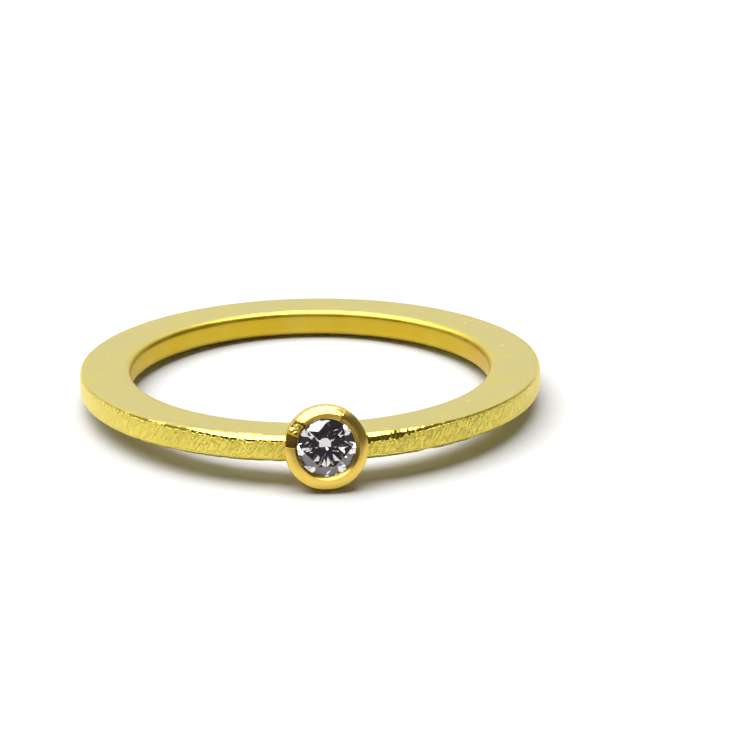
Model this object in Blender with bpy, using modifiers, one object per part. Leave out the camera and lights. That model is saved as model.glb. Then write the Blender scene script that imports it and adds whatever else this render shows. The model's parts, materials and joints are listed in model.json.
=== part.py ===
"""A flat-sided gold band with a round brilliant diamond in a soldered bezel.

Metres, +Z up. The ring lies on its side on the plane Z = 0, as it rests by itself: on the underside
of the bezel in front (-Y) and on the lower edge of the band at the back (+Y). The bezel and the
stone look up a little from the band's plane. The origin is the centre of the object's box, at its
bottom.
"""

import math

import bmesh
import bpy
from mathutils import Vector

MM = 0.001

# Band: a washer-like ring, wider across its side faces than it is tall
FINGER_RADIUS = 8.25 * MM
BAND_WIDTH = 2.37 * MM
BAND_HEIGHT = 1.2 * MM
OUTER_CHAMFER_WIDTH = 0.21 * MM
OUTER_CHAMFER_HEIGHT = 0.15 * MM
OUTER_FACE_BULGE = 0.03 * MM
INNER_ROUNDING = 0.28 * MM
BAND_SIDES = 96

# Diamond: a round brilliant, whose facets follow from the cutter's usual shares and angles
STONE_RADIUS = 1.5 * MM
GIRDLE_HEIGHT = 0.1 * MM
TABLE_SHARE = 0.57
STAR_SHARE = 0.5
LOWER_HALF_SHARE = 0.77
CROWN_ANGLE = math.radians(34.5)
PAVILION_ANGLE = math.radians(40.8)
CULET_RADIUS = 0.03 * MM
MAIN_FACETS = 8
GIRDLE_SIDES = 32

# Bezel: a cup turned about the line out through the stone, which looks up from the band's plane
BEZEL_RADIUS = 1.88 * MM
BEZEL_BACK_RADIUS = 1.3 * MM
BEZEL_PROTRUSION = 0.43 * MM
BEZEL_STRAIGHT_LENGTH = 0.62 * MM
BEZEL_TAPER_LENGTH = 1.0 * MM
BEZEL_RAISE = 0.14 * MM
SETTING_TILT = math.radians(10.5)
RIM_ROUNDING_WIDTH = 0.33 * MM
RIM_ROUNDING_DEPTH = 0.23 * MM
BEZEL_SIDES = 48

# Seat: the hollow that holds the stone
LIP_OVERLAP = 0.21 * MM
LIP_HEIGHT = 0.3 * MM
STONE_CLEARANCE = 0.04 * MM
BEARING_WIDTH = 0.35 * MM
CULET_CLEARANCE = 0.15 * MM

ARC_STEPS = 4
MERGE_DISTANCE = 0.001 * MM

GOLD_COLOUR = (0.83, 0.63, 0.16, 1.0)
DIAMOND_COLOUR = (0.95, 0.96, 1.0, 1.0)

# Places that follow from the sizes above, as distances out from the ring's axis
OUTER_RADIUS = FINGER_RADIUS + BAND_WIDTH
BEZEL_CREST = OUTER_RADIUS + BEZEL_PROTRUSION
BEZEL_STRAIGHT_FRONT = BEZEL_CREST - RIM_ROUNDING_DEPTH
BEZEL_STRAIGHT_BACK = BEZEL_STRAIGHT_FRONT - BEZEL_STRAIGHT_LENGTH
BEZEL_BACK = BEZEL_STRAIGHT_BACK - BEZEL_TAPER_LENGTH
STONE_GIRDLE = BEZEL_CREST - LIP_HEIGHT
TABLE_RADIUS = STONE_RADIUS * TABLE_SHARE
CROWN_HEIGHT = (STONE_RADIUS - TABLE_RADIUS) * math.tan(CROWN_ANGLE)
PAVILION_DEPTH = (STONE_RADIUS - CULET_RADIUS) * math.tan(PAVILION_ANGLE)
CULET = STONE_GIRDLE - GIRDLE_HEIGHT - PAVILION_DEPTH
SETTING_PIVOT = OUTER_RADIUS


def clear_scene():
    """Remove whatever the scene holds."""
    for thing in list(bpy.data.objects):
        bpy.data.objects.remove(thing, do_unlink=True)


def new_collection(name):
    """Add an empty collection to the scene."""
    collection = bpy.data.collections.new(name)
    bpy.context.scene.collection.children.link(collection)
    return collection


def surface(name, colour, roughness, metallic):
    """Make a plain Principled material."""
    material = bpy.data.materials.new(name)
    material.use_nodes = True
    shader = material.node_tree.nodes["Principled BSDF"]
    shader.inputs["Base Color"].default_value = colour
    shader.inputs["Roughness"].default_value = roughness
    shader.inputs["Metallic"].default_value = metallic
    return material


def arc(centre, radii, start, end, steps):
    """Points (across, up) on a quarter or less of an ellipse, both ends included, in radians."""
    angles = [start + (end - start) * i / steps for i in range(steps + 1)]
    return [(centre[0] + radii[0] * math.cos(a), centre[1] + radii[1] * math.sin(a)) for a in angles]


def turned(name, collection, profile, sides, closed):
    """Turn a profile of (radius, height) points about Z, with a side of the turning centred on +Y."""
    half_side = math.pi / sides
    mesh = bpy.data.meshes.new(name)
    bm = bmesh.new()
    verts = [bm.verts.new((r * math.cos(half_side), r * math.sin(half_side), h)) for r, h in profile]
    for first, second in zip(verts, verts[1:]):
        bm.edges.new((first, second))
    if closed:
        bm.edges.new((verts[-1], verts[0]))
    bm.to_mesh(mesh)
    bm.free()
    thing = bpy.data.objects.new(name, mesh)
    collection.objects.link(thing)
    screw = thing.modifiers.new("Turn", "SCREW")
    screw.axis = "Z"
    screw.angle = math.tau
    screw.steps = sides
    screw.render_steps = sides
    screw.use_merge_vertices = True
    screw.merge_threshold = MERGE_DISTANCE
    screw.use_smooth_shade = False
    return thing


def band_profile():
    """The band's section about its mid-plane, clockwise: down the outer face, in, up and back out."""
    half = BAND_HEIGHT / 2
    edge = OUTER_RADIUS - OUTER_FACE_BULGE
    shoulder = half - OUTER_CHAMFER_HEIGHT
    flat_edge = OUTER_RADIUS - OUTER_CHAMFER_WIDTH
    outer = [(flat_edge, half), (edge, shoulder), (OUTER_RADIUS, 0.0), (edge, -shoulder), (flat_edge, -half)]
    fillet = FINGER_RADIUS + INNER_ROUNDING
    radii = (INNER_ROUNDING, INNER_ROUNDING)
    lower = arc((fillet, INNER_ROUNDING - half), radii, -math.pi / 2, -math.pi, ARC_STEPS)
    upper = arc((fillet, half - INNER_ROUNDING), radii, math.pi, math.pi / 2, ARC_STEPS)
    return outer + lower + upper


def bezel_profile():
    """The bezel's outer form with no hollow, from the middle of its crest to the middle of its back."""
    radii = (RIM_ROUNDING_WIDTH, RIM_ROUNDING_DEPTH)
    rim = arc((BEZEL_RADIUS - RIM_ROUNDING_WIDTH, BEZEL_STRAIGHT_FRONT), radii, math.pi / 2, 0.0, ARC_STEPS)
    narrowing = BEZEL_RADIUS - BEZEL_BACK_RADIUS
    radii = (narrowing, BEZEL_TAPER_LENGTH)
    taper = arc((BEZEL_BACK_RADIUS, BEZEL_STRAIGHT_BACK), radii, 0.0, -math.pi / 2, ARC_STEPS)
    return [(0.0, BEZEL_CREST)] + rim + taper + [(0.0, BEZEL_BACK)]


def seat_profile():
    """The stone's hollow: an open flare, the lip's edge, the groove of the girdle, the bearing, the bore."""
    crown_gap = STONE_CLEARANCE / math.cos(CROWN_ANGLE)
    pavilion_gap = STONE_CLEARANCE / math.cos(PAVILION_ANGLE)
    lip_radius = STONE_RADIUS - LIP_OVERLAP
    lip_edge = STONE_GIRDLE + LIP_OVERLAP * math.tan(CROWN_ANGLE) + crown_gap
    flare = BEZEL_CREST - lip_edge + RIM_ROUNDING_DEPTH
    groove = STONE_RADIUS + STONE_CLEARANCE
    groove_top = STONE_GIRDLE + crown_gap - STONE_CLEARANCE * math.tan(CROWN_ANGLE)
    girdle_foot = STONE_GIRDLE - GIRDLE_HEIGHT
    groove_foot = girdle_foot - pavilion_gap + STONE_CLEARANCE * math.tan(PAVILION_ANGLE)
    bore = STONE_RADIUS - BEARING_WIDTH
    bearing_foot = groove_foot - (groove - bore) * math.tan(PAVILION_ANGLE)
    return [
        (0.0, lip_edge + flare),
        (lip_radius + flare, lip_edge + flare),
        (lip_radius, lip_edge),
        (groove, groove_top),
        (groove, groove_foot),
        (bore, bearing_foot),
        (bore, CULET - CULET_CLEARANCE),
        (0.0, CULET - CULET_CLEARANCE),
    ]


def spoke(radius, turn, height):
    """The point at a radius, a turn about Z and a height."""
    return Vector((radius * math.cos(turn), radius * math.sin(turn), height))


def grind(bm, a, b, c):
    """Cut the flat facet through three points, and keep the side that holds the stone's middle."""
    normal = (b - a).cross(c - a).normalized()
    if normal.dot(a - Vector((0.0, 0.0, -GIRDLE_HEIGHT / 2))) < 0.0:
        normal.negate()
    everything = bm.verts[:] + bm.edges[:] + bm.faces[:]
    cut = bmesh.ops.bisect_plane(
        bm, geom=everything, dist=MERGE_DISTANCE, plane_co=a, plane_no=normal, clear_outer=True
    )
    edges = [piece for piece in cut["geom_cut"] if isinstance(piece, bmesh.types.BMEdge)]
    if edges:
        bmesh.ops.holes_fill(bm, edges=[edge for edge in edges if edge.is_boundary])


def brilliant(name, collection):
    """Cut a round brilliant, its girdle's top at Z = 0 and its table up."""
    bm = bmesh.new()
    bmesh.ops.create_cone(
        bm,
        cap_ends=True,
        segments=GIRDLE_SIDES,
        radius1=STONE_RADIUS,
        radius2=STONE_RADIUS,
        depth=2 * (CROWN_HEIGHT + PAVILION_DEPTH + GIRDLE_HEIGHT),
    )
    step = math.tau / MAIN_FACETS
    foot = -GIRDLE_HEIGHT
    table = [spoke(TABLE_RADIUS, i * step, CROWN_HEIGHT) for i in range(MAIN_FACETS)]
    grind(bm, table[0], table[1], table[2])
    star_radius = (TABLE_RADIUS * math.cos(step / 2) + STONE_RADIUS) * STAR_SHARE
    star_height = (STONE_RADIUS - star_radius * math.cos(step / 2)) * math.tan(CROWN_ANGLE)
    half_radius = STONE_RADIUS * (1.0 - LOWER_HALF_SHARE)
    half_depth = (STONE_RADIUS - half_radius * math.cos(step / 2)) * math.tan(PAVILION_ANGLE)
    tip_depth = STONE_RADIUS * math.tan(PAVILION_ANGLE)
    for i in range(MAIN_FACETS):
        main = i * step
        star = spoke(star_radius, main + step / 2, star_height)
        before = spoke(star_radius, main - step / 2, star_height)
        grind(bm, spoke(STONE_RADIUS, main, 0.0), star, before)
        lower = spoke(half_radius, main + step / 2, foot - half_depth)
        grind(bm, spoke(STONE_RADIUS, main, foot), lower, Vector((0.0, 0.0, foot - tip_depth)))
    for i in range(MAIN_FACETS):
        main = i * step
        between = main + step / 2
        star = spoke(star_radius, between, star_height)
        lower = spoke(half_radius, between, foot - half_depth)
        grind(bm, table[i], table[(i + 1) % MAIN_FACETS], star)
        for corner in (main, main + step):
            grind(bm, star, spoke(STONE_RADIUS, corner, 0.0), spoke(STONE_RADIUS, between, 0.0))
            grind(bm, lower, spoke(STONE_RADIUS, corner, foot), spoke(STONE_RADIUS, between, foot))
    culet = foot - PAVILION_DEPTH
    grind(bm, spoke(1.0 * MM, 0.0, culet), spoke(1.0 * MM, step, culet), spoke(1.0 * MM, 2 * step, culet))
    bmesh.ops.remove_doubles(bm, verts=bm.verts[:], dist=MERGE_DISTANCE)
    bmesh.ops.recalc_face_normals(bm, faces=bm.faces[:])
    mesh = bpy.data.meshes.new(name)
    bm.to_mesh(mesh)
    bm.free()
    thing = bpy.data.objects.new(name, mesh)
    collection.objects.link(thing)
    return thing


def combine(thing, tool, operation):
    """Join a tool shape to a thing, or cut it away, and mark the tool as a guide."""
    boolean = thing.modifiers.new(tool.name, "BOOLEAN")
    boolean.object = tool
    boolean.operation = operation
    boolean.solver = "EXACT"
    tool.hide_render = True
    tool.display_type = "WIRE"


def resting_tilt():
    """The ring's lean when it rests on the bezel's underside and on the back of the band."""
    band_low = -BAND_HEIGHT / 2
    reach = (OUTER_RADIUS - OUTER_CHAMFER_WIDTH) * math.cos(math.pi / BAND_SIDES)
    across, up = math.cos(SETTING_TILT), math.sin(SETTING_TILT)
    leans = [0.0]
    for radius, distance in bezel_profile():
        drop = radius * math.cos(math.pi / BEZEL_SIDES)
        out = distance - SETTING_PIVOT
        bezel_low = BEZEL_RAISE + out * up - drop * across
        front = SETTING_PIVOT + out * across + drop * up
        leans.append(math.atan2(band_low - bezel_low, front + reach))
    return max(leans)


def corners(things):
    """The lowest and highest corners of some things, as they stand."""
    bpy.context.view_layer.update()
    graph = bpy.context.evaluated_depsgraph_get()
    points = []
    for thing in things:
        shown = thing.evaluated_get(graph)
        points += [shown.matrix_world @ vert.co for vert in shown.data.vertices]
    low = Vector([min(point[i] for point in points) for i in range(3)])
    high = Vector([max(point[i] for point in points) for i in range(3)])
    return low, high


def build():
    """Make the ring and lay it on its side."""
    clear_scene()
    ring = new_collection("diamond_ring")
    cutters = new_collection("cutters")

    rest = bpy.data.objects.new("resting_pose", None)
    ring.objects.link(rest)
    rest.rotation_euler[0] = -resting_tilt()

    gold = turned("gold_ring", ring, band_profile(), BAND_SIDES, closed=True)
    bezel = turned("bezel_form", cutters, bezel_profile(), BEZEL_SIDES, closed=False)
    seat = turned("stone_seat", cutters, seat_profile(), BEZEL_SIDES, closed=False)
    stone = brilliant("diamond", ring)
    setting = bpy.data.objects.new("setting", None)
    ring.objects.link(setting)
    setting.parent = rest
    setting.rotation_euler[0] = math.pi / 2 - SETTING_TILT
    setting.location = (0.0, -SETTING_PIVOT, BEZEL_RAISE)
    gold.parent = rest
    for part in (bezel, seat, stone):
        part.parent = setting
        part.location.z = -SETTING_PIVOT
    stone.location.z = STONE_GIRDLE - SETTING_PIVOT
    combine(gold, bezel, "UNION")
    combine(gold, seat, "DIFFERENCE")

    gold.data.materials.append(surface("satin_yellow_gold", GOLD_COLOUR, 0.35, 1.0))
    stone.data.materials.append(surface("diamond_clear", DIAMOND_COLOUR, 0.0, 0.0))

    low, high = corners([gold, stone])
    rest.location = (-(low.x + high.x) / 2, -(low.y + high.y) / 2, -low.z)


build()
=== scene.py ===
"""A diamond ring: a satin gold band with a round brilliant set in a burnished bezel.

The goldsmith's sizes are in millimetres, in the ring's own frame: the finger's axis is Z, the band's
middle is the origin and the stone looks along -Y. Each finished mesh is then laid down where the ring
rests on its side, in metres.
"""

import json
import logging
import math
from collections.abc import Iterator
from contextlib import contextmanager
from dataclasses import dataclass, field
from enum import Enum

import bpy
import numpy as np
from mathutils import Matrix, Vector, noise


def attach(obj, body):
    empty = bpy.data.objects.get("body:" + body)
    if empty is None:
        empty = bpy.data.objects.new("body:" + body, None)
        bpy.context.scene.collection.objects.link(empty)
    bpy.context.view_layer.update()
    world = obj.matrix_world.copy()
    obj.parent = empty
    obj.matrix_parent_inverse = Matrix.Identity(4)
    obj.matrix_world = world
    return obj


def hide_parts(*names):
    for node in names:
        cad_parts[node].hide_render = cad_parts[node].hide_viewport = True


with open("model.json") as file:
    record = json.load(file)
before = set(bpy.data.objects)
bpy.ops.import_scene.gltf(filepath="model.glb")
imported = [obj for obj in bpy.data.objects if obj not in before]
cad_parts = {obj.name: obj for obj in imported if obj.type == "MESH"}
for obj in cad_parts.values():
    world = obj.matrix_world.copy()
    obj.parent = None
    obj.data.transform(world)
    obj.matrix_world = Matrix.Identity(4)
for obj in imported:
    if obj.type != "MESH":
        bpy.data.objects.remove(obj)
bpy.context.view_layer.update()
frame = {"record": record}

MM = 0.001
BODY = "root"
GOLD_NODE = "gold_ring"
STONE_NODE = "diamond"

Pair = tuple[float, float]
Triple = tuple[float, float, float]
Outline = list[Pair]
Colour = Triple
Socket = bpy.types.NodeSocket

log = logging.getLogger("ring")


class Slot(Enum):
    """The record's material slots."""

    GOLD = "gold"
    DIAMOND = "diamond"


class Mask(Enum):
    """Point attributes of a gold piece, from 0 to 1, that its finish reads."""

    POLISH = "polish"
    FILED = "filed"
    EMERY = "emery"
    # Where the finish paints a darker gold, a painted reflection and shade, and makes the gold rougher.
    BORE = "bore"


class Rim(Enum):
    """Shapes of the bezel's rim: its inner slope's width, its outer slope's width, drop and two angles."""

    BEVELLED = (0.24, 0.3, 0.265, 32.0, 51.0)
    FLAT = (0.15, 0.39, 0.155, 8.0, 43.0)


@dataclass(frozen=True)
class RestingPose:
    """How the ring lies on the surface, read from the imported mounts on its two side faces.

    Attributes:
        centre: The band's middle, in metres.
        tilt: The finger axis' lean away from the stone, in radians.
    """

    centre: Vector
    tilt: float

    @classmethod
    def from_record(cls, record: dict) -> "RestingPose":
        """Read the pose from the mounts, which lie level with the band's middle.

        Args:
            record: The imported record.

        Returns:
            The pose.
        """
        mounts = {mount["name"]: mount for mount in record["mounts"]}
        upper = Vector(mounts["upper_side_face"]["pos_m"])
        lower = Vector(mounts["lower_side_face"]["pos_m"])
        axis = Vector(mounts["upper_side_face"]["axis"])
        middle = (upper + lower) / 2
        return cls(centre=Vector((0.0, middle.y, middle.z)), tilt=math.atan2(axis.y, axis.z))

    def matrix(self) -> Matrix:
        """Return the ring frame's place in the world, without a change of unit."""
        return Matrix.Translation(self.centre) @ Matrix.Rotation(-self.tilt, 4, "X")


class Bench:
    """The bench's tools, all of them in millimetres and degrees."""

    MERGE = 1e-5
    SHARP = 35.0

    @staticmethod
    def clear_selection() -> None:
        """Deselect every object."""
        bpy.ops.object.select_all(action="DESELECT")

    @staticmethod
    @contextmanager
    def editing(piece: bpy.types.Object) -> Iterator[bpy.types.Mesh]:
        """Hold a piece in edit mode.

        Args:
            piece: The mesh object.

        Yields:
            Its mesh.
        """
        Bench.clear_selection()
        piece.select_set(True)
        bpy.context.view_layer.objects.active = piece
        bpy.ops.object.mode_set(mode="EDIT")
        try:
            yield piece.data
        finally:
            bpy.ops.object.mode_set(mode="OBJECT")

    @classmethod
    def turn(cls, name: str, outline: Outline, steps: int, closed: bool) -> bpy.types.Object:
        """Draw an outline by extruding a point, and turn it about Z.

        Args:
            name: The piece's name.
            outline: Points of (radius, height).
            steps: Steps of the whole turn.
            closed: Whether the outline's last point joins its first.

        Returns:
            The turned piece, with its faces outwards.
        """
        cls.clear_selection()
        bpy.ops.mesh.primitive_plane_add(size=cls.MERGE)
        piece = bpy.context.object
        piece.name = piece.data.name = name
        piece.data.uv_layers.remove(piece.data.uv_layers[0])
        with cls.editing(piece):
            bpy.ops.mesh.select_all(action="SELECT")
            bpy.ops.mesh.merge(type="CENTER")
            first = Vector((outline[0][0], 0.0, outline[0][1]))
            bpy.ops.transform.translate(value=first)
            for before, after in zip(outline, outline[1:]):
                step = (after[0] - before[0], 0.0, after[1] - before[1])
                bpy.ops.mesh.extrude_vertices_move(TRANSFORM_OT_translate={"value": step})
        if closed:
            count = len(piece.data.vertices)
            for vertex in piece.data.vertices:
                vertex.select = vertex.index in (0, count - 1)
            with cls.editing(piece):
                bpy.ops.mesh.edge_face_add()
        bpy.ops.object.modifier_add(type="SCREW")
        screw = piece.modifiers[-1]
        screw.steps = screw.render_steps = steps
        screw.use_merge_vertices = True
        screw.merge_threshold = cls.MERGE
        bpy.ops.object.modifier_apply(modifier=screw.name)
        with cls.editing(piece):
            bpy.ops.mesh.select_all(action="SELECT")
            bpy.ops.mesh.remove_doubles(threshold=cls.MERGE)
            bpy.ops.mesh.normals_make_consistent(inside=False)
        return piece

    @classmethod
    def cut_away(cls, piece: bpy.types.Object, cutter: bpy.types.Object) -> None:
        """Cut one closed shape out of another, and throw the cutter away."""
        cls.clear_selection()
        bpy.context.view_layer.objects.active = piece
        piece.select_set(True)
        cut = piece.modifiers.new("cut", "BOOLEAN")
        cut.object = cutter
        cut.operation = "DIFFERENCE"
        cut.solver = "EXACT"
        bpy.ops.object.modifier_apply(modifier=cut.name)
        bpy.data.objects.remove(cutter, do_unlink=True)

    @classmethod
    def smooth(cls, piece: bpy.types.Object) -> None:
        """Shade a piece smooth, but for its sharp edges."""
        cls.clear_selection()
        piece.select_set(True)
        bpy.context.view_layer.objects.active = piece
        bpy.ops.object.shade_smooth_by_angle(angle=math.radians(cls.SHARP))

    @staticmethod
    def points(piece: bpy.types.Object) -> np.ndarray:
        """Return a piece's points as an array of rows."""
        flat = np.empty(len(piece.data.vertices) * 3)
        piece.data.vertices.foreach_get("co", flat)
        return flat.reshape(-1, 3)

    @staticmethod
    def put_points(piece: bpy.types.Object, points: np.ndarray) -> None:
        """Move a piece's points."""
        piece.data.vertices.foreach_set("co", np.ascontiguousarray(points).ravel())
        piece.data.update()

    @staticmethod
    def mask(piece: bpy.types.Object, mask: Mask, values: np.ndarray) -> None:
        """Store a point attribute.

        Args:
            piece: The piece.
            mask: The attribute.
            values: One value from 0 to 1 for each point.
        """
        layer = piece.data.attributes.new(mask.value, "FLOAT", "POINT")
        layer.data.foreach_set("value", np.clip(values, 0.0, 1.0).astype(np.float32))

    @staticmethod
    def wrap_uv(piece: bpy.types.Object, radius: float, across: np.ndarray) -> None:
        """Lay a UV map in millimetres round a turned piece.

        Args:
            piece: The piece, turned about Z.
            radius: The radius at which the map keeps its length round the piece.
            across: Each point's way along the outline.
        """
        mesh = piece.data
        points = Bench.points(piece)
        turn = np.arctan2(points[:, 0], -points[:, 1])
        corners = np.empty(len(mesh.loops), dtype=np.int32)
        mesh.loops.foreach_get("vertex_index", corners)
        starts = np.empty(len(mesh.polygons), dtype=np.int32)
        mesh.polygons.foreach_get("loop_start", starts)
        sizes = np.empty(len(mesh.polygons), dtype=np.int32)
        mesh.polygons.foreach_get("loop_total", sizes)
        first = np.repeat(turn[corners[starts]], sizes)
        order = np.argsort(np.repeat(starts, sizes), kind="stable")
        first = first[order]
        turns = turn[corners]
        turns = turns - np.round((turns - first) / math.tau) * math.tau
        layer = mesh.uv_layers.new(name="around")
        layer.data.foreach_set("uv", np.column_stack((turns * radius, across[corners])).ravel())

    @staticmethod
    def lay_down(piece: bpy.types.Object, pose: RestingPose, place: Matrix) -> None:
        """Put a finished piece where it rests, with its place in its mesh.

        Args:
            piece: The piece, in millimetres.
            pose: The ring's resting pose.
            place: The piece's own place in the ring's frame, in millimetres.
        """
        piece.data.transform(pose.matrix() @ Matrix.Scale(MM, 4) @ place)
        piece.data.update()


def arc(centre: Pair, radii: Pair, start: float, end: float, steps: int) -> Outline:
    """Points on a stretch of an ellipse, both ends included.

    Args:
        centre: The ellipse's centre.
        radii: Its half axes.
        start: The first angle, in degrees.
        end: The last angle, in degrees.
        steps: The number of steps between them.

    Returns:
        The points.
    """
    angles = [math.radians(start + (end - start) * i / steps) for i in range(steps + 1)]
    return [(centre[0] + radii[0] * math.cos(a), centre[1] + radii[1] * math.sin(a)) for a in angles]


def between(first: Pair, last: Pair, steps: int) -> Outline:
    """The points that split a straight stretch, without its two ends."""
    shares = [i / steps for i in range(1, steps)]
    return [(first[0] + (last[0] - first[0]) * s, first[1] + (last[1] - first[1]) * s) for s in shares]


def ramp(values: np.ndarray, low: float, high: float) -> np.ndarray:
    """Rise smoothly from 0 at one value to 1 at another."""
    share = np.clip((values - low) / (high - low), 0.0, 1.0)
    return share * share * (3.0 - 2.0 * share)


def window(values: np.ndarray, edges: tuple[float, float, float, float]) -> np.ndarray:
    """Rise smoothly from 0 to 1 between the first two edges, and fall back between the last two."""
    return ramp(values, edges[0], edges[1]) * (1.0 - ramp(values, edges[2], edges[3]))


def stations(points: np.ndarray, outline: Outline) -> np.ndarray:
    """Find the outline's point that each turned point comes from.

    Args:
        points: The turned points.
        outline: The outline that was turned.

    Returns:
        The number of the outline's point, for each turned point.
    """
    places = np.array(outline)
    radial = np.hypot(points[:, 0], points[:, 1])
    gaps = np.abs(radial[:, None] - places[:, 0]) + np.abs(points[:, 2, None] - places[:, 1])
    return gaps.argmin(axis=1)


def rough_field(points: np.ndarray, size: float, shift: float) -> np.ndarray:
    """Sample smooth noise at points.

    Args:
        points: Rows of places, in millimetres.
        size: The noise's feature size, in millimetres.
        shift: An offset that makes one field differ from another.

    Returns:
        A value from about -1 to 1 for each row.
    """
    offset = Vector((shift, 2.0 * shift, -shift))
    return np.array([noise.noise(Vector(point) / size + offset) for point in points])


def unevenness(points: np.ndarray, layers: tuple[Triple, ...]) -> np.ndarray:
    """Add up layers of smooth noise at points.

    Args:
        points: Rows of places, in millimetres.
        layers: Each layer's feature size, its shift and its height, in millimetres.

    Returns:
        A height for each row.
    """
    return sum(rough_field(points, size, shift) * height for size, shift, height in layers)


@dataclass(frozen=True)
class Profile:
    """Something that changes round the band.

    Attributes:
        turns: Turns from the stone, in degrees, with the ring's right positive.
        values: Its value at each of them.
    """

    turns: tuple[float, ...]
    values: tuple[float, ...]

    def at(self, turn: np.ndarray) -> np.ndarray:
        """Return the values at some turns."""
        return np.interp(turn, self.turns, self.values)


class NodeDesk:
    """A material's node tree, with short ways to add nodes and join them."""

    def __init__(self, tree: bpy.types.NodeTree) -> None:
        """Take an empty or a new tree."""
        self.tree = tree

    def add(self, kind: str, inputs: dict | None = None, **settings: object) -> bpy.types.Node:
        """Add a node.

        Args:
            kind: The node's type.
            inputs: Sockets by name or number, each with a value or with a socket to link.
            **settings: The node's own properties.

        Returns:
            The node.
        """
        node = self.tree.nodes.new(kind)
        for name, value in settings.items():
            setattr(node, name, value)
        for name, value in (inputs or {}).items():
            if isinstance(value, bpy.types.NodeSocket):
                self.tree.links.new(value, node.inputs[name])
            else:
                node.inputs[name].default_value = value
        return node

    def maths(self, operation: str, first: object, second: object = 0.0) -> Socket:
        """Add a Math node and return its result."""
        return self.add("ShaderNodeMath", {0: first, 1: second}, operation=operation).outputs[0]

    def span(self, value: object, source: Pair, target: Pair) -> Socket:
        """Map a value smoothly from one range to another, clamped."""
        inputs = {
            "Value": value,
            "From Min": source[0],
            "From Max": source[1],
            "To Min": target[0],
            "To Max": target[1],
        }
        node = self.add("ShaderNodeMapRange", inputs, interpolation_type="SMOOTHSTEP")
        return node.outputs["Result"]

    def blend(self, share: object, first: object, second: object) -> Socket:
        """Mix two colours by a share."""
        node = self.add("ShaderNodeMix", data_type="RGBA")
        for socket, value in ((node.inputs[0], share), (node.inputs[6], first), (node.inputs[7], second)):
            if isinstance(value, bpy.types.NodeSocket):
                self.tree.links.new(value, socket)
            else:
                socket.default_value = value
        return node.outputs[2]

    def attribute(self, mask: Mask) -> Socket:
        """Read a point attribute of the piece."""
        return self.add("ShaderNodeAttribute", attribute_name=mask.value).outputs["Fac"]

    def cloud(self, place: Socket, scale: float, detail: float) -> Socket:
        """Add a noise texture and return its value."""
        inputs = {"Vector": place, "Scale": scale, "Detail": detail}
        return self.add("ShaderNodeTexNoise", inputs).outputs["Fac"]

    def mapped(self, place: Socket, turn: float, scale: Triple) -> Socket:
        """Turn a place about Z by some degrees, and stretch it."""
        rotation = (0.0, 0.0, math.radians(turn))
        turned = self.add("ShaderNodeMapping", {"Vector": place, "Rotation": rotation})
        return self.add("ShaderNodeMapping", {"Vector": turned.outputs[0], "Scale": scale}).outputs[0]


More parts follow.
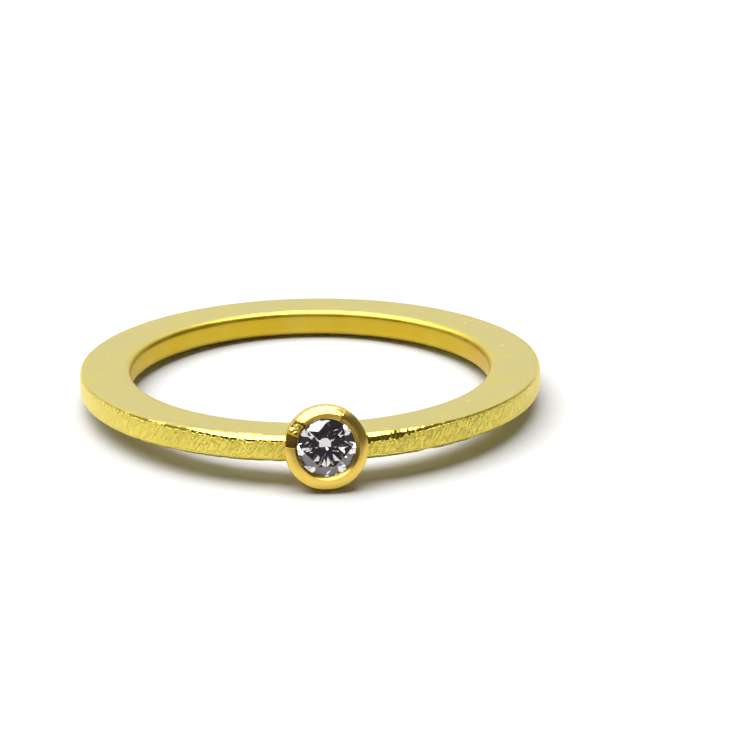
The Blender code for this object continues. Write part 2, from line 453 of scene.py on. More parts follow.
@dataclass(frozen=True)
class GoldFinish:
    """A yellow gold surface, from emery satin to polish, as the piece's masks say.

    Attributes:
        name: The material's name.
        colour: The gold's colour at right angles to the surface.
        pale: Its colour on emeried faces.
        deep: A darker gold painted where the bore mask is 1: a painted reflection of gold in gold, and
            painted shade in the hollow.
        satin: The roughness where nothing is polished.
        polished: The roughness where the polish mask is 1.
        smoothest: The least roughness that wear leaves where nothing is polished.
        grain_depth: The depth of the fine grain, in metres.
        scratch_depth: The depth of the emery's scratches, in metres.
        stroke_depth: The depth of the file's strokes, in metres.
        pit_depth: The depth of the pits, in metres.
    """

    name: str
    colour: Colour
    pale: Colour
    deep: Colour
    satin: float = 0.3
    polished: float = 0.26
    smoothest: float = 0.287
    grain_depth: float = 6e-6
    scratch_depth: float = 2.6e-5
    stroke_depth: float = 3.2e-5
    pit_depth: float = 2.5e-5

    def material(self) -> bpy.types.Material:
        """Build the material.

        Returns:
            A Principled material that reads Object coordinates, the piece's UV map and its masks.
        """
        material = bpy.data.materials.new(self.name)
        material.use_nodes = True
        desk = NodeDesk(material.node_tree)
        shader = material.node_tree.nodes["Principled BSDF"]
        link = material.node_tree.links.new
        coordinates = desk.add("ShaderNodeTexCoord")
        in_mm = {"Vector": coordinates.outputs["Object"], "Scale": (1 / MM,) * 3}
        solid = desk.add("ShaderNodeMapping", in_mm).outputs[0]
        around = coordinates.outputs["UV"]
        grain = desk.cloud(solid, 9.0, 3.0)
        blotches = desk.cloud(solid, 0.55, 2.0)
        strokes = desk.cloud(desk.mapped(around, -62.0, (2.2, 10.0, 1.0)), 1.0, 2.0)
        strokes = desk.span(strokes, (0.4, 0.62), (0.0, 1.0))
        link(self.tone(desk, blotches, strokes), shader.inputs["Base Color"])
        link(self.roughness(desk, grain, blotches), shader.inputs["Roughness"])
        link(self.relief(desk, solid, around, grain, strokes), shader.inputs["Normal"])
        shader.inputs["Metallic"].default_value = 1.0
        return material

    def tone(self, desk: NodeDesk, blotches: Socket, strokes: Socket) -> Socket:
        """Add the colour: pale where emeried, darker in blotches, with a painted reflection and shade in
        hollows and painted shade in the file's furrows.

        Args:
            desk: The node tree's desk.
            blotches: The slow noise of wear.
            strokes: The file's strokes, 0 in a furrow.

        Returns:
            The colour.
        """
        filed = desk.attribute(Mask.FILED)
        # Painted shade: the file's furrows are coloured a darker gold.
        furrows = desk.maths("MULTIPLY", desk.maths("SUBTRACT", 1.0, strokes), filed)
        furrow_painted_shade = tuple(channel * 0.74 for channel in self.colour)
        darker = tuple(channel * 0.86 for channel in self.colour)
        tone = desk.blend(desk.maths("MULTIPLY", furrows, 0.4), (*self.colour, 1.0), (*furrow_painted_shade, 1.0))
        tone = desk.blend(desk.attribute(Mask.EMERY), tone, (*self.pale, 1.0))
        # Painted reflection and shade: the darker gold where the bore mask lies.
        tone = desk.blend(desk.attribute(Mask.BORE), tone, (*self.deep, 1.0))
        return desk.blend(desk.span(blotches, (0.35, 0.7), (0.0, 0.3)), tone, (*darker, 1.0))

    def roughness(self, desk: NodeDesk, grain: Socket, blotches: Socket) -> Socket:
        """Add the roughness: satin with its wear, down to polish.

        Args:
            desk: The node tree's desk.
            grain: The fine noise.
            blotches: The slow noise of wear.

        Returns:
            The roughness.
        """
        swing, dulled_in_hollow = 0.16, 0.12
        worn = desk.span(blotches, (0.3, 0.7), (-0.03, 0.04))
        bore = desk.maths("MULTIPLY", desk.attribute(Mask.BORE), dulled_in_hollow)
        satin = desk.maths("ADD", desk.maths("MULTIPLY", grain, swing), self.satin - swing / 2)
        satin = desk.maths("ADD", satin, desk.maths("ADD", worn, bore))
        satin = desk.maths("MAXIMUM", satin, self.smoothest)
        level = desk.add("ShaderNodeMix", data_type="FLOAT")
        desk.tree.links.new(desk.attribute(Mask.POLISH), level.inputs[0])
        desk.tree.links.new(satin, level.inputs[2])
        level.inputs[3].default_value = self.polished
        return level.outputs[0]

    def relief(self, desk: NodeDesk, solid: Socket, around: Socket, grain: Socket, strokes: Socket) -> Socket:
        """Add the fine relief: grain, the emery's scratches, the file's strokes and a few pits.

        Args:
            desk: The node tree's desk.
            solid: The place in the piece, in millimetres.
            around: The place round the band and across it, in millimetres.
            grain: The fine noise.
            strokes: The file's strokes.

        Returns:
            The normal.
        """
        polish, filed, emery = (desk.attribute(mask) for mask in (Mask.POLISH, Mask.FILED, Mask.EMERY))
        polish_calms, emery_calms, filed_emery_calms, filed_raises = 0.75, 0.88, 4.8, 5.0
        scratches = desk.cloud(desk.mapped(solid, 28.0, (0.6, 9.0, 1.0)), 1.0, 1.5)
        cross_strokes = desk.cloud(desk.mapped(around, -97.0, (0.9, 12.0, 1.0)), 1.0, 2.5)
        filings = desk.maths("MULTIPLY", desk.maths("ADD", strokes, cross_strokes), filed)
        cells = desk.add("ShaderNodeTexVoronoi", {"Vector": solid, "Scale": 1.3, "Randomness": 1.0})
        pits = desk.span(cells.outputs["Distance"], (0.03, 0.09), (1.0, 0.0))
        chosen = desk.span(cells.outputs["Color"], (0.62, 0.66), (0.0, 1.0))
        pits = desk.maths("MULTIPLY", desk.maths("MULTIPLY", pits, chosen), emery)
        rough = desk.maths("SUBTRACT", 1.0, desk.maths("MULTIPLY", polish, polish_calms))
        calm = desk.maths("ADD", desk.maths("MULTIPLY", filed, filed_emery_calms), emery_calms)
        grained = desk.maths("SUBTRACT", rough, desk.maths("MULTIPLY", emery, calm))
        grained = desk.maths("ADD", grained, desk.maths("MULTIPLY", filed, filed_raises))
        normal = None
        for height, depth in (
            (desk.maths("MULTIPLY", grain, grained), self.grain_depth),
            (desk.maths("MULTIPLY", scratches, emery), self.scratch_depth),
            (filings, self.stroke_depth),
            (pits, -self.pit_depth),
        ):
            bump = desk.add("ShaderNodeBump", {"Height": height, "Distance": abs(depth)}, invert=depth < 0)
            if normal is not None:
                desk.tree.links.new(normal, bump.inputs["Normal"])
            normal = bump.outputs["Normal"]
        return normal


@dataclass(frozen=True)
class DiamondFinish:
    """Clear polished diamond.

    Attributes:
        name: The material's name.
        colour: The tint of what passes through.
        ior: The refractive index.
    """

    name: str = "diamond_clear"
    colour: Colour = (0.977, 0.962, 0.968)
    ior: float = 2.417

    def material(self) -> bpy.types.Material:
        """Build the material.

        Returns:
            A Principled material that lets all light through.
        """
        material = bpy.data.materials.new(self.name)
        material.use_nodes = True
        shader = material.node_tree.nodes["Principled BSDF"]
        shader.inputs["Base Color"].default_value = (*self.colour, 1.0)
        shader.inputs["Roughness"].default_value = 0.0
        shader.inputs["IOR"].default_value = self.ior
        shader.inputs["Transmission Weight"].default_value = 1.0
        return material


@dataclass
class Bezel:
    """The cup that holds the stone, turned about the line out through the stone, and tilted up a little.

    Heights are distances out from the finger's axis before the tilt, in millimetres.

    Attributes:
        radius: The cup's outer radius.
        back_radius: Its radius at the back.
        crest: The height of the rim's crest.
        shoulder: How far the straight wall begins below the crest.
        straight: The length of the straight wall behind the rounding.
        taper: The length of the narrowing behind that.
        raised: How far the cup's middle lies above the band's.
        tilt: How far the stone looks up from the band's plane, in degrees.
        pivot: The distance out from the finger's axis at which the cup turns up.
        lip_radius: The radius of the lip's edge on the stone.
        lip_edge: How far the lip's edge lies below the crest.
        groove_radius: The radius of the groove that holds the girdle.
        groove: The heights of the groove's top and foot below the crest.
        bore_radius: The radius of the bore under the stone.
        bearing: The height of the bearing's foot below the crest.
        floor: The thickness of the floor behind the bore.
        steps: Steps of the turn.
        finish: The gold's finish, warmer than the band's, with painted shade and reflection on the rim's
            inner slope.
    """

    radius: float = 1.873
    back_radius: float = 1.3
    crest: float = 11.05
    shoulder: float = 0.23
    straight: float = 0.62
    taper: float = 1.0
    raised: float = 0.14
    tilt: float = 10.5
    pivot: float = 10.62
    lip_radius: float = 1.29
    lip_edge: float = 0.125
    groove_radius: float = 1.54
    groove: Pair = (0.28, 0.418)
    bore_radius: float = 1.15
    bearing: float = 0.755
    floor: float = 0.1
    steps: int = 256
    finish: GoldFinish = field(
        default_factory=lambda: GoldFinish(
            "burnished_warm_gold",
            (0.88, 0.62, 0.125),
            (0.88, 0.62, 0.125),
            # The darker gold: painted shade and reflection on the rim's inner slope.
            (0.36, 0.22, 0.04),
            satin=0.375,
            polished=0.15,
            smoothest=0.348,
        )
    )

    # The numbers, in the outline, of the groove's top, the lip's edge, the crest and the slope's end.
    GROOVE, LIP, CREST, SLOPE = 4, 6, 12, 27
    # The corner between slope and wall: its width and its height.
    CORNER = (0.03, 0.05)
    # Stretches of the rim, in degrees from its top, with the ring's right positive.
    BEVELLED = (-42.5, -40.9, 26.6, 28.2)
    FILED_FLAT = (-88.5, -86.5, -67.0, -65.0)
    SOLDERED = (-66.0, -63.0, -49.0, -46.0)
    # Where the painted shade and reflection on the inner slope fade out, on either side towards the rim's
    # bottom.
    SHADED_TO = (110.0, 140.0)
    # Layers of unevenness: dents in the wall, the rim's sagging and crumbs of solder.
    DENTS = ((0.75, 3.0, 0.02), (0.3, 8.0, 0.006))
    SAGS = ((0.9, 5.0, 0.018),)
    CRUMBS = ((0.16, 12.0, 0.045), (0.08, 14.0, 0.02))

    def place(self) -> Matrix:
        """Return the place of the cup, and of the stone, in the ring's frame."""
        turn = Matrix.Rotation(math.radians(90.0 - self.tilt), 4, "X")
        middle = Matrix.Translation((0.0, -self.pivot, self.raised))
        return middle @ turn @ Matrix.Translation((0.0, 0.0, -self.pivot))

    def tail(self, shrink: float) -> Outline:
        """Return the outside from the foot of the straight wall to the edge of the back."""
        waist = self.crest - self.shoulder - self.straight
        narrowing = self.radius - self.back_radius
        return arc((self.back_radius - shrink, waist), (narrowing, self.taper - shrink), 0.0, -90.0, 10)

    def outline(self, rim: Rim) -> Outline:
        """Return the whole section: up the hollow, over the lip and the crest, and down the outside.

        Args:
            rim: The rim's shape. Each shape's outline has the same number of points.

        Returns:
            The points.
        """
        tail = self.tail(0.0)
        top, foot = self.groove
        lip = (self.lip_radius, self.crest - self.lip_edge)
        hollow = [
            (0.0, tail[-1][1] + self.floor),
            (self.bore_radius, tail[-1][1] + self.floor),
            (self.bore_radius, self.crest - self.bearing),
            (self.groove_radius, self.crest - foot),
            (self.groove_radius, self.crest - top),
            (lip[0] + 0.012, lip[1] - 0.012),
            lip,
        ]
        inner_width, width, fall, first, last = rim.value
        crest = (lip[0] + inner_width, self.crest)
        flare = between(lip, crest, 6) + [crest]
        slope = self.slope(width, fall, first, last)
        edge = slope[-1]
        overlap, drop = 0.004, self.CORNER[1]
        round_off = (self.radius - edge[0] + overlap, drop)
        corner = arc((edge[0] - overlap, edge[1] - drop), round_off, 70.0, 0.0, 4)
        wall = between(corner[-1], tail[0], 4)
        return hollow + flare + slope + corner + wall + tail + [(0.0, tail[-1][1])]

    def slope(self, width: float, drop: float, first: float, last: float) -> Outline:
        """Return the rim's outer slope, from its crest, which gets steeper and steeper.

        Args:
            width: The slope's width.
            drop: How far it falls.
            first: Its steepness at the crest, in degrees.
            last: Its steepness at the wall, in degrees.

        Returns:
            The points.
        """
        steps, lateness = self.SLOPE - self.CREST - 1, 1.6
        shares = [(i / steps) ** lateness for i in range(steps + 1)]
        angles = [math.radians(first + (last - first) * share) for share in shares]
        fall = np.cumsum([0.0] + [math.tan((a + b) / 2) for a, b in zip(angles, angles[1:])])
        start = self.radius - self.CORNER[0] - width
        return [
            (start + width * i / steps, self.crest - drop * fall[i] / fall[-1]) for i in range(steps + 1)
        ]

    def plug(self) -> bpy.types.Object:
        """Make the shape that the band is notched with, which ends inside the cup's wall."""
        shrink, steps = 0.1, 96
        outline = [(0.0, self.crest), (self.radius - shrink, self.crest)] + self.tail(shrink)
        outline.append((0.0, outline[-1][1]))
        plug = Bench.turn("notch_plug", outline, steps, closed=False)
        plug.data.transform(self.place())
        return plug

    def close_rim(
        self, points: np.ndarray, clock: np.ndarray, station: np.ndarray
    ) -> tuple[np.ndarray, np.ndarray]:
        """Close the rim by hand: bevelled and polished on top, filed flat on the left, dented all round.

        Args:
            points: The turned points.
            clock: Each point's turn from the rim's top, in degrees.
            station: Each point's number in the outline.

        Returns:
            The moved points, and how brightly each is polished.
        """
        turn = np.radians(clock)
        flat, bevelled = (np.array(self.outline(rim)) for rim in (Rim.FLAT, Rim.BEVELLED))
        bevel = window(clock, self.BEVELLED)[:, None]
        section = flat[station] * (1.0 - bevel) + bevelled[station] * bevel

        # The opening lies a little above the wall's middle, and the crest a little to its right as well.
        aside, above, crest_from_lip = 0.04, 0.035, 0.16
        radii = (self.lip_radius, self.lip_radius + crest_from_lip, self.radius - self.CORNER[0])
        sway = np.interp(section[:, 0], radii, (0.0, 1.0, 0.0)) * aside * np.sin(turn)
        sway += np.interp(section[:, 0], radii, (1.0, 1.0, 0.0)) * above * np.cos(turn)
        section[:, 0] += sway * (station > self.GROOVE) * (station <= self.SLOPE)

        # Wear and dents, most of them near the rim.
        wear, sagging = 0.014, 0.022
        outside = (station > self.CREST).astype(float)
        rim = ramp(section[:, 1], self.crest - 0.8, self.crest - 0.2)
        radial = section[:, 0] - outside * rim * np.maximum(wear - unevenness(points, self.DENTS), 0.0)
        sag = unevenness(points, self.SAGS) - sagging

        # One stroke of the file left a small plane on the left, and solder gathered above it.
        depth, fall_outwards, fall_upwards, sunk = 0.035, 0.16, 0.35, 0.03
        filed_flat = window(clock, self.FILED_FLAT) * (station > self.LIP + 1)
        outwards, upwards = radial - 1.5, radial * np.cos(turn) - 0.3
        plane = self.crest - depth - fall_outwards * outwards - fall_upwards * upwards
        section[:, 1] += filed_flat * rim * (plane - section[:, 1]) * (station <= self.SLOPE)
        solder = window(clock, self.SOLDERED) * outside * rim
        crumbs = unevenness(points, self.CRUMBS) - sunk
        sag += solder * crumbs
        radial += solder * crumbs

        height = section[:, 1] + sag * outside * rim
        moved = np.column_stack((radial * np.sin(turn), radial * np.cos(turn), height))
        polished_flat = filed_flat * 0.7
        return moved, 0.3 + 0.7 * np.maximum(bevel[:, 0], polished_flat) * rim

    def build(self, pose: RestingPose) -> bpy.types.Object:
        """Make the cup, with the unevenness of a hand-closed rim.

        Args:
            pose: The ring's resting pose.

        Returns:
            The dressed piece.
        """
        outline = self.outline(Rim.FLAT)
        piece = Bench.turn("bezel_setting", outline, self.steps, closed=False)
        points = Bench.points(piece)
        clock = np.degrees(np.arctan2(points[:, 0], points[:, 1]))
        station = stations(points, outline)
        inner_slope = (station > self.LIP) & (station <= self.CREST)
        Bench.wrap_uv(piece, self.radius, points[:, 2] + np.hypot(points[:, 0], points[:, 1]))
        points, polish = self.close_rim(points, clock, station)
        Bench.put_points(piece, points)
        Bench.mask(piece, Mask.POLISH, polish)
        # Painted shade and reflection: the inner slope gets the darker gold at the rim's top and sides,
        # fading out towards its bottom; it is rougher there too.
        Bench.mask(piece, Mask.BORE, inner_slope * (1.0 - ramp(np.abs(clock), *self.SHADED_TO)))
        Bench.smooth(piece)
        Bench.lay_down(piece, pose, self.place())
        piece.data.materials.append(self.finish.material())
        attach(piece, BODY)
        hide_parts(GOLD_NODE)
        return piece


class Part(Enum):
    """The parts of the band's section."""

    UPPER_CHAMFER = "upper chamfer"
    FACE = "outer face"
    LOWER_CHAMFER = "lower chamfer"
    SIDE = "side face"
    BORE = "bore"


@dataclass
class Band:
    """The flat-sided band, turned about the finger's axis and then worked by hand. In millimetres.

    Attributes:
        finger_radius: The radius of the finger hole.
        width: The width of a side face, edge to edge.
        height: The height between the side faces.
        chamfer: The filed outer edge, its width and its height.
        bulge: How far the outer face swells at its middle.
        inner_rounding: The radius of the inner edges.
        steps: Steps of the turn.
        finish: The gold's finish, with a painted reflection and shade in the bore.
    """

    finger_radius: float = 8.25
    width: float = 2.37
    height: float = 1.2
    chamfer: Pair = (0.21, 0.18)
    bulge: float = 0.03
    inner_rounding: float = 0.28
    steps: int = 1600
    finish: GoldFinish = field(
        default_factory=lambda: GoldFinish(
            # The third colour, a darker gold, is a painted reflection and shade in the bore.
            "satin_yellow_gold", (0.94, 0.77, 0.14), (0.88, 0.765, 0.25), (0.66, 0.46, 0.03), polished=0.16
        )
    )

    # Points of the section on a chamfer and on the outer face.
    CHAMFER_POINTS, FACE_POINTS = 11, 9
    # The steeper bevel at the chamfer's foot: its height, its least height, the room kept for it, its lean.
    FOOT, LEAST_FOOT, FOOT_ROOM, FOOT_LEAN = 0.04, 0.012, 0.02, 0.36
    # The chamfer's size as a share of the fields', on the upper edge all round and on the lower edge.
    FILED = Profile(
        (-180, -130, -100, -50, -34, -29, -25, -18, 12, 17, 29, 60, 100, 130, 180),
        (1.12, 1.12, 0.5, 0.12, 0.14, 0.55, 0.95, 1.15, 1.1, 0.8, 0.4, 0.35, 0.5, 1.12, 1.12),
    )
    LOWER_FILED = 1.12
    # The height of the foot's bevel where the file slipped, and the share of it on the lower edge.
    SLIPS = Profile(
        (-75, -60, -42, -32, -24, -17, -9, 8, 10, 14, 18, 23, 30, 45),
        (0.0, 0.05, 0.07, 0.08, 0.07, 0.05, 0.04, 0.2, 0.25, 0.24, 0.2, 0.12, 0.03, 0.0),
    )
    LOWER_SLIPS = 0.3
    # How far the file's teeth bit beyond the chamfer's inner end, by place and by size, and how ragged
    # they left its foot.
    TEETH = Profile((-60, -36, -30, -12, -4, 30, 60), (0.1, 0.15, 1.0, 1.0, 0.15, 0.3, 0.1))
    TEETH_SIZES = (0.11, 0.33, 0.8)
    BITES = (0.09, 0.07, 0.25)
    RAGGED = Profile((-12, -4), (1.0, 0.45))
    # How brightly the chamfer is polished.
    BRIGHT = Profile((-50, -35, -29, 4, 12, 29, 36), (0.0, 0.1, 1.0, 1.0, 0.6, 0.7, 0.2))
    # Where most file strokes ran over onto the side face: the middle and the spread, in degrees.
    STRAY_STROKES = (-27.0, 14.0)

    @property
    def outer_radius(self) -> float:
        """The band's outer radius."""
        return self.finger_radius + self.width

    @property
    def fillet_radius(self) -> float:
        """The radius at which the inner edge's rounding meets the side face."""
        return self.finger_radius + self.inner_rounding

    @property
    def main_slope(self) -> Pair:
        """The width and the height of the chamfer's main slope, above its foot."""
        wide, tall = self.chamfer
        return wide - self.bulge - self.FOOT_ROOM, tall - self.FOOT

    def chamfer_line(self, width: np.ndarray, fall: np.ndarray, foot: np.ndarray) -> np.ndarray:
        """Return the chamfer's points for some places round the band.

        Args:
            width: The chamfer's width at each place.
            fall: Its height there.
            foot: The height of the steeper bevel below it, where the file slipped.

        Returns:
            For each place a row of points, each with its way in from the outer face and its way down.
        """
        base = foot * self.FOOT_LEAN
        steep = [(base + width * (1.0 - c), fall * c) for c in (0.0, 0.1, 0.3, 0.5, 0.7, 0.9, 1.0)]
        low = [(base * (1.0 - c), fall + foot * c) for c in (0.2, 0.5, 0.8, 1.0)]
        return np.stack([np.stack(pair, axis=-1) for pair in steep + low], axis=-2)

    def plain_chamfer(self) -> np.ndarray:
        """Return the chamfer's points before the band is worked by hand."""
        return self.chamfer_line(*(np.array(size) for size in (*self.main_slope, self.FOOT)))

    def outline(self) -> list[tuple[Part, Pair]]:
        """Return the section with each point's part, clockwise from the inner end of the upper chamfer."""
        half = self.height / 2
        edge = self.outer_radius - self.bulge
        upper = [(edge - inward, half - down) for inward, down in self.plain_chamfer().tolist()]
        flat, shoulder = upper[0][0], upper[-1][1]
        fillet = self.fillet_radius
        rounding = (self.inner_rounding, self.inner_rounding)
        face = arc((edge, 0.0), (self.bulge, shoulder), 90.0, -90.0, self.FACE_POINTS + 1)[1:-1]
        lower_inner = arc((fillet, self.inner_rounding - half), rounding, -90.0, -180.0, 4)
        wall = between(lower_inner[-1], (self.finger_radius, half - self.inner_rounding), 4)
        upper_inner = arc((fillet, half - self.inner_rounding), rounding, 180.0, 90.0, 7)
        parts = (
            (Part.UPPER_CHAMFER, upper),
            (Part.FACE, face),
            (Part.LOWER_CHAMFER, [(r, -h) for r, h in reversed(upper)]),
            (Part.SIDE, between((flat, -half), (fillet, -half), 4)),
            (Part.BORE, lower_inner + wall + upper_inner[:-1]),
            (Part.SIDE, [upper_inner[-1]] + between((fillet, half), (flat, half), 9)),
        )
        return [(part, point) for part, points in parts for point in points]

    def filed_line(self, points: np.ndarray, turn: np.ndarray) -> np.ndarray:
        """Return the chamfer as a hand file leaves it: widest beside the bezel, ragged and with slips.

        Args:
            points: The turned points.
            turn: Each point's turn round the band from the stone, in degrees.

        Returns:
            The chamfer's points, as chamfer_line gives them, for each turned point.
        """
        around = np.radians(turn) * self.outer_radius
        along = np.column_stack((around, np.sign(points[:, 2]), np.zeros(len(turn))))
        fine, middle, coarse = (rough_field(along, size, size) for size in self.TEETH_SIZES)
        above = points[:, 2] > 0.0
        size = np.where(above, self.FILED.at(turn), self.LOWER_FILED)
        slips = self.SLIPS.at(turn) * np.where(above, 1.0, self.LOWER_SLIPS)
        small, medium, large = self.BITES
        teeth = np.abs(fine) * small + np.abs(middle) * medium + np.maximum(coarse - 0.2, 0.0) * large
        teeth *= np.where(above, self.TEETH.at(turn), 1.0)
        wide, tall = self.main_slope
        width = wide * size + teeth
        fall = tall * size * (1.0 + 0.12 * middle)
        ragged = (1.6 * fine + 1.2 * middle) * self.RAGGED.at(turn)
        foot = self.LEAST_FOOT + slips * np.clip(0.8 + ragged, 0.0, 1.5)
        width -= self.FOOT_LEAN * (foot - slips * 0.75)
        return self.chamfer_line(width, fall, foot)

    def file_edges(self, points: np.ndarray, turn: np.ndarray, station: np.ndarray) -> np.ndarray:
        """File the outer edges, and fit the faces between them.

        Args:
            points: The turned points.
            turn: Each point's turn round the band from the stone, in degrees.
            station: Each point's number in the section.

        Returns:
            The moved points.
        """
        count, face = self.CHAMFER_POINTS, self.FACE_POINTS
        upper = station < count
        outer = (station >= count) & (station < count + face)
        lower = (station >= count + face) & (station < 2 * count + face)
        edges = upper | lower
        number = np.where(upper, station, 2 * count + face - 1 - station)
        line = self.filed_line(points, turn)
        inward, down = line[np.arange(len(number)), np.clip(number, 0, count - 1)].T

        radial = np.hypot(points[:, 0], points[:, 1])
        edge, fillet, half = self.outer_radius - self.bulge, self.fillet_radius, self.height / 2
        side = (station >= 2 * count + face) & (radial > fillet)
        stretch = (edge - line[:, 0, 0] - fillet) / (edge - self.plain_chamfer()[0, 0] - fillet)
        beside = np.where(side, fillet + (radial - fillet) * stretch, radial)
        room = np.where(outer, (half - line[:, -1, 1]) / (half - self.chamfer[1]), 1.0)
        points[:, :2] *= (np.where(edges, edge - inward, beside) / radial)[:, None]
        points[:, 2] = np.where(edges, np.sign(points[:, 2]) * (half - down), points[:, 2] * room)
        return points

    def work_faces(self, points: np.ndarray) -> np.ndarray:
        """Leave the slight unevenness of hand work on the faces, always below the true size."""
        worn_outside, worn_beside = 0.015, 0.004
        radial = np.hypot(points[:, 0], points[:, 1])
        outside = ramp(radial, self.outer_radius - 0.12, self.outer_radius - 0.02)
        swell = unevenness(points, ((1.6, 4.0, 0.008), (0.35, 6.0, 0.0035)))
        points[:, :2] *= (1.0 + outside * (swell - worn_outside) / radial)[:, None]
        wave = unevenness(points, ((2.2, 9.0, 0.004),)) - worn_beside
        points[:, 2] += np.sign(points[:, 2]) * wave
        return points

    def mark(self, piece: bpy.types.Object, turn: np.ndarray, of_part: dict[Part, np.ndarray]) -> None:
        """Lay the UV map, and mark what is emeried, filed and polished, and the hollow, which gets a painted
        reflection and shade and more roughness.

        Args:
            piece: The turned piece.
            turn: Each point's turn round the band from the stone, in degrees.
            of_part: Which points belong to each part of the section.
        """
        points = Bench.points(piece)
        radial = np.hypot(points[:, 0], points[:, 1])
        flat = self.outer_radius - self.chamfer[0]
        middle, spread = self.STRAY_STROKES
        crossed = of_part[Part.SIDE] * ramp(radial, flat - 0.55, flat - 0.05)
        crossed *= 0.25 + 0.75 * np.exp(-(((turn - middle) / spread) ** 2))
        chamfer = of_part[Part.UPPER_CHAMFER] | of_part[Part.LOWER_CHAMFER]
        hollow = 1.0 - ramp(radial, self.finger_radius + 0.02, self.fillet_radius - 0.1)
        Bench.wrap_uv(piece, self.outer_radius, points[:, 2] - np.minimum(radial - self.outer_radius, 0.0))
        Bench.mask(piece, Mask.EMERY, of_part[Part.SIDE] * 1.0)
        Bench.mask(piece, Mask.FILED, np.maximum(of_part[Part.FACE] * 1.0, crossed))
        Bench.mask(piece, Mask.POLISH, chamfer * self.BRIGHT.at(turn))
        # Painted reflection and shade: the bore's wall gets the darker gold, fading out at its rounded edges.
        Bench.mask(piece, Mask.BORE, of_part[Part.BORE] * hollow)

    def build(self, pose: RestingPose, bezel: Bezel) -> bpy.types.Object:
        """Make the band, notched for the bezel.

        Args:
            pose: The ring's resting pose.
            bezel: The setting whose wall the band meets.

        Returns:
            The dressed piece.
        """
        parts, section = zip(*self.outline())
        piece = Bench.turn("gold_band", list(section), self.steps, closed=True)
        points = Bench.points(piece)
        turn = np.degrees(np.arctan2(points[:, 0], -points[:, 1]))
        station = stations(points, list(section))
        kind = np.array([list(Part).index(part) for part in parts])[station]
        self.mark(piece, turn, {part: kind == number for number, part in enumerate(Part)})
        points = self.work_faces(self.file_edges(points, turn, station))
        Bench.put_points(piece, points)
        Bench.cut_away(piece, bezel.plug())
        Bench.smooth(piece)
        Bench.lay_down(piece, pose, Matrix.Identity(4))
        piece.data.materials.append(self.finish.material())
        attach(piece, BODY)
        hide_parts(GOLD_NODE)
        return piece


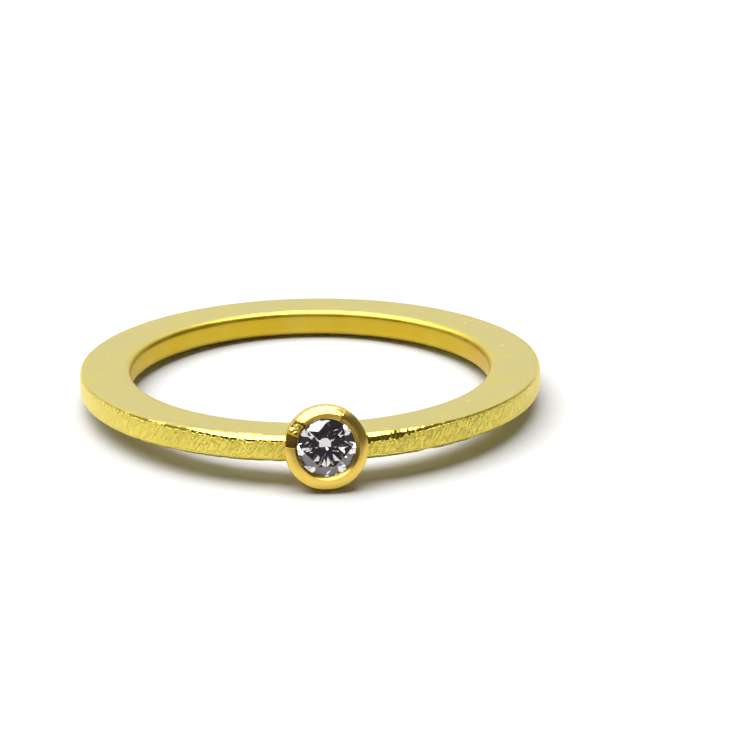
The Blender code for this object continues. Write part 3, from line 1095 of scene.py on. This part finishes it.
@dataclass
class Brilliant:
    """A round brilliant, cut from a rod facet by facet. In millimetres, table up, girdle's top at 0.

    Attributes:
        radius: The girdle's radius.
        girdle: The girdle's height at the main facets.
        table: The table's share of the width.
        star: The star facets' share of the way from table to girdle.
        lower_half: The lower halves' share of the way from girdle to culet.
        crown_angle: The crown mains' slope, in degrees.
        pavilion_angle: The pavilion mains' slope, in degrees.
        culet: The radius of the culet.
        mains: The number of main facets.
        sides: The girdle's sides.
        height: The girdle's top, out from the finger's axis.
        turn: The stone's turn in its seat, in degrees.
        lean: The stone's lean to its right in its seat, in degrees.
        finish: The stone's finish.
    """

    radius: float = 1.5
    girdle: float = 0.1
    table: float = 0.57
    star: float = 0.5
    lower_half: float = 0.77
    crown_angle: float = 34.5
    pavilion_angle: float = 40.8
    culet: float = 0.012
    mains: int = 8
    sides: int = 64
    height: float = 10.75
    turn: float = 22.5
    lean: float = -1.0
    finish: DiamondFinish = field(default_factory=DiamondFinish)

    @staticmethod
    def spoke(radius: float, turn: float, height: float) -> Vector:
        """Return the point at a radius, a turn in radians and a height."""
        return Vector((radius * math.cos(turn), radius * math.sin(turn), height))

    def facets(self) -> list[tuple[Vector, Vector, Vector]]:
        """Return three points of each facet's plane, in the order in which a cutter lays them."""
        crown = math.tan(math.radians(self.crown_angle))
        pavilion = math.tan(math.radians(self.pavilion_angle))
        step = math.tau / self.mains
        foot = -self.girdle
        rim = self.radius
        table_radius = rim * self.table
        table = [self.spoke(table_radius, i * step, (rim - table_radius) * crown) for i in range(self.mains)]
        star_radius = table_radius * math.cos(step / 2) * (1.0 - self.star) + rim * self.star
        star_height = (rim - star_radius * math.cos(step / 2)) * crown
        half_radius = rim * (1.0 - self.lower_half)
        half_height = foot - (rim - half_radius * math.cos(step / 2)) * pavilion
        tip = Vector((0.0, 0.0, foot - rim * pavilion))
        mains, brilliance = [(table[0], table[1], table[2])], []
        for i in range(self.mains):
            main = i * step
            side = main + step / 2
            star = self.spoke(star_radius, side, star_height)
            star_before = self.spoke(star_radius, main - step / 2, star_height)
            lower = self.spoke(half_radius, side, half_height)
            mains.append((self.spoke(rim, main, 0.0), star, star_before))
            mains.append((self.spoke(rim, main, foot), lower, tip))
            brilliance.append((table[i], table[(i + 1) % self.mains], star))
            for corner in (main, main + step):
                brilliance.append((star, self.spoke(rim, corner, 0.0), self.spoke(rim, side, 0.0)))
                brilliance.append((lower, self.spoke(rim, corner, foot), self.spoke(rim, side, foot)))
        low = foot - (rim - self.culet) * pavilion
        culet = (self.spoke(rim, 0.0, low), self.spoke(rim, step, low), self.spoke(rim, 2 * step, low))
        return mains + brilliance + [culet]

    def build(self, pose: RestingPose, bezel: Bezel) -> bpy.types.Object:
        """Cut the stone and seat it.

        Args:
            pose: The ring's resting pose.
            bezel: The setting that holds it.

        Returns:
            The dressed piece.
        """
        Bench.clear_selection()
        bpy.ops.mesh.primitive_cylinder_add(vertices=self.sides, radius=self.radius, depth=4 * self.radius)
        stone = bpy.context.object
        stone.name = stone.data.name = "brilliant_cut_diamond"
        with Bench.editing(stone):
            for first, second, third in self.facets():
                normal = (second - first).cross(third - first).normalized()
                if normal.dot(first - Vector((0.0, 0.0, -self.girdle / 2))) < 0.0:
                    normal.negate()
                bpy.ops.mesh.select_all(action="SELECT")
                bpy.ops.mesh.bisect(
                    plane_co=first, plane_no=normal, use_fill=True, clear_outer=True, threshold=Bench.MERGE
                )
            bpy.ops.mesh.select_all(action="SELECT")
            bpy.ops.mesh.remove_doubles(threshold=Bench.MERGE)
            bpy.ops.mesh.normals_make_consistent(inside=False)
        lean = Matrix.Rotation(math.radians(self.lean), 4, "Y")
        turn = Matrix.Rotation(math.radians(self.turn), 4, "Z")
        seat = Matrix.Translation((0.0, 0.0, self.height)) @ (lean @ turn)
        Bench.lay_down(stone, pose, bezel.place() @ seat)
        stone.data.materials.append(self.finish.material())
        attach(stone, BODY)
        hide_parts(STONE_NODE)
        return stone


@dataclass
class PhotoCamera:
    """The camera at the photograph's angle to the ring. In the ring's frame, in millimetres and degrees.

    Attributes:
        azimuth: The turn about the finger's axis, from the stone's side.
        elevation: The height above the ring's plane.
        distance: The distance from the middle of the upper side face.
        aim: The point of the upper side face's plane that the picture's middle shows.
        roll: The turn of the picture.
        lens: The focal length on a 36 mm wide sensor.
    """

    azimuth: float = -3.52
    elevation: float = 17.75
    distance: float = 233.64
    aim: Pair = (2.8546, -1.9237)
    roll: float = 0.4392
    lens: float = 243.18

    def build(self, pose: RestingPose, band: Band) -> bpy.types.Object:
        """Pair the camera.

        Args:
            pose: The ring's resting pose.
            band: The band, whose upper side face the camera is set to.

        Returns:
            The camera.
        """
        turn, rise = math.radians(self.azimuth), math.radians(self.elevation)
        back = Vector((math.sin(turn) * math.cos(rise), -math.cos(turn) * math.cos(rise), math.sin(rise)))
        top = Vector((0.0, 0.0, band.height / 2))
        to_world = pose.matrix() @ Matrix.Scale(MM, 4)
        eye = to_world @ (top + back * self.distance)
        target = to_world @ (top + Vector((*self.aim, 0.0)))
        camera = bpy.data.objects.new("photo_camera", bpy.data.cameras.new("photo_camera"))
        bpy.context.scene.collection.objects.link(camera)
        looking = (target - eye).to_track_quat("-Z", "Y").to_matrix().to_4x4()
        roll = Matrix.Rotation(-math.radians(self.roll), 4, "Z")
        camera.matrix_world = Matrix.Translation(eye) @ looking @ roll
        camera.data.lens = self.lens
        camera.data.clip_start = 0.01
        camera.data.clip_end = 10.0
        bpy.context.scene.camera = camera
        return camera


@dataclass
class Studio:
    """A pale floor and soft light: bright overhead and behind, dim towards the camera.

    Attributes:
        floor_size: The floor's side, in metres.
        floor_colour: The floor's colour.
        overhead: The light of the softbox above.
        overhead_reach: The softbox's half sizes, sideways and in depth, on a unit sphere.
        overhead_centre: Its middle there.
        overhead_fade: Where its edge begins and ends to fade, as shares of its half sizes squared.
        behind: The light of the wall behind.
        behind_fade: Where that light begins and is full, towards the back of a unit sphere.
        beside: The light from the sides.
        beside_fade: Where that light begins and is full, towards either side.
        front: The light from the camera's side.
    """

    floor_size: float = 3.0
    floor_colour: Colour = (0.62, 0.62, 0.62)
    overhead: float = 5.5
    overhead_reach: Pair = (0.62, 0.47)
    overhead_centre: Pair = (-0.16, 0.06)
    overhead_fade: Pair = (0.85, 1.15)
    behind: float = 0.72
    behind_fade: Pair = (0.0, 0.45)
    beside: float = 0.12
    beside_fade: Pair = (0.55, 0.85)
    front: Colour = (0.035, 0.03, 0.035)

    def build_floor(self) -> bpy.types.Object:
        """Lay the floor."""
        Bench.clear_selection()
        bpy.ops.mesh.primitive_plane_add(size=self.floor_size)
        floor = bpy.context.object
        floor.name = "studio_floor"
        material = bpy.data.materials.new("floor_matt_white")
        material.use_nodes = True
        shader = material.node_tree.nodes["Principled BSDF"]
        shader.inputs["Base Color"].default_value = (*self.floor_colour, 1.0)
        shader.inputs["Roughness"].default_value = 0.9
        shader.inputs["Specular IOR Level"].default_value = 0.1
        floor.data.materials.append(material)
        return floor

    def build_world(self) -> None:
        """Light the scene from all round, and show plain white behind it."""
        world = bpy.data.worlds.new("studio_light")
        bpy.context.scene.world = world
        world.use_nodes = True
        desk = NodeDesk(world.node_tree)
        background = world.node_tree.nodes["Background"]
        direction = desk.add("ShaderNodeTexCoord").outputs["Generated"]
        axes = desk.add("ShaderNodeSeparateXYZ", {0: direction})
        deep = desk.span(axes.outputs["Y"], self.behind_fade, (0.0, 1.0))
        wide = desk.span(desk.maths("ABSOLUTE", axes.outputs["X"]), self.beside_fade, (0.0, 1.0))
        level = desk.blend(deep, (*self.front, 1.0), (self.behind,) * 3 + (1.0,))
        level = desk.blend(wide, level, (self.beside,) * 3 + (1.0,))
        offset = desk.maths("SUBTRACT", axes.outputs["X"], self.overhead_centre[0])
        across = desk.maths("POWER", desk.maths("DIVIDE", offset, self.overhead_reach[0]), 2.0)
        offset = desk.maths("SUBTRACT", axes.outputs["Y"], self.overhead_centre[1])
        along = desk.maths("POWER", desk.maths("DIVIDE", offset, self.overhead_reach[1]), 2.0)
        above = desk.maths("GREATER_THAN", axes.outputs["Z"], 0.0)
        box = desk.span(desk.maths("ADD", across, along), self.overhead_fade, (1.0, 0.0))
        box = desk.maths("MULTIPLY", box, above)
        level = desk.blend(box, level, (self.overhead,) * 3 + (1.0,))
        seen = desk.add("ShaderNodeLightPath").outputs["Is Camera Ray"]
        colour = desk.blend(seen, level, (1.0, 1.0, 1.0, 1.0))
        world.node_tree.links.new(colour, background.inputs["Color"])

    def build(self) -> None:
        """Set up the studio and the way the picture is shown."""
        self.build_floor()
        self.build_world()
        scene = bpy.context.scene
        scene.view_settings.view_transform = "Standard"
        scene.view_settings.look = "None"


def write_sizes() -> None:
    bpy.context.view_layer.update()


def report(piece: bpy.types.Object) -> None:
    """Log a piece's name and its number of faces."""
    log.info("%s: %d faces", piece.name, len(piece.data.polygons))


def main() -> None:
    """Build the ring, piece by piece, in its studio."""
    logging.basicConfig(level=logging.INFO, format="%(name)s: %(message)s")
    pose = RestingPose.from_record(frame["record"])
    bezel, band, stone = Bezel(), Band(), Brilliant()
    PhotoCamera().build(pose, band)
    Studio().build()
    for piece in (band.build(pose, bezel), bezel.build(pose), stone.build(pose, bezel)):
        report(piece)
    write_sizes()


if __name__ == "__main__":
    main()
